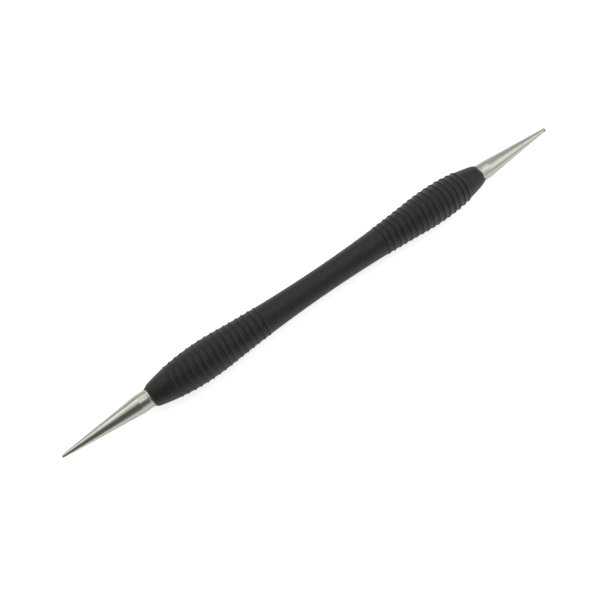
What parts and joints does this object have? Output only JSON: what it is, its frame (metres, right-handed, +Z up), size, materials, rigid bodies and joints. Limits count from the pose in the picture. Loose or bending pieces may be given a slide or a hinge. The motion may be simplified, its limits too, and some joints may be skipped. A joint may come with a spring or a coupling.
{
  "type": "embossing stylus",
  "caption": "Double-ended embossing stylus with a ribbed hourglass rubber grip, a fine steel point at one end and a small steel ball at the other.",
  "frame": {"origin": "on the tool's axis, halfway between its two ends", "axes": "+X along the axis towards the ball tip, +Z up as the tool lies on a bench"},
  "size_m": [0.181, 0.0122, 0.0122],
  "materials": {
    "grip_rubber": "matt black moulded rubber",
    "core_metal": "drawn tube, as cut",
    "tip_steel": "turned, polished and plated steel",
    "ball_steel": "polished hardened steel"
  },
  "bodies": {
    "root": {"grip_sleeve": "grip_rubber", "core_tube": "core_metal", "point_tip": "tip_steel", "ball_tip": "tip_steel", "tip_ball": "ball_steel"}
  },
  "joints": []
}
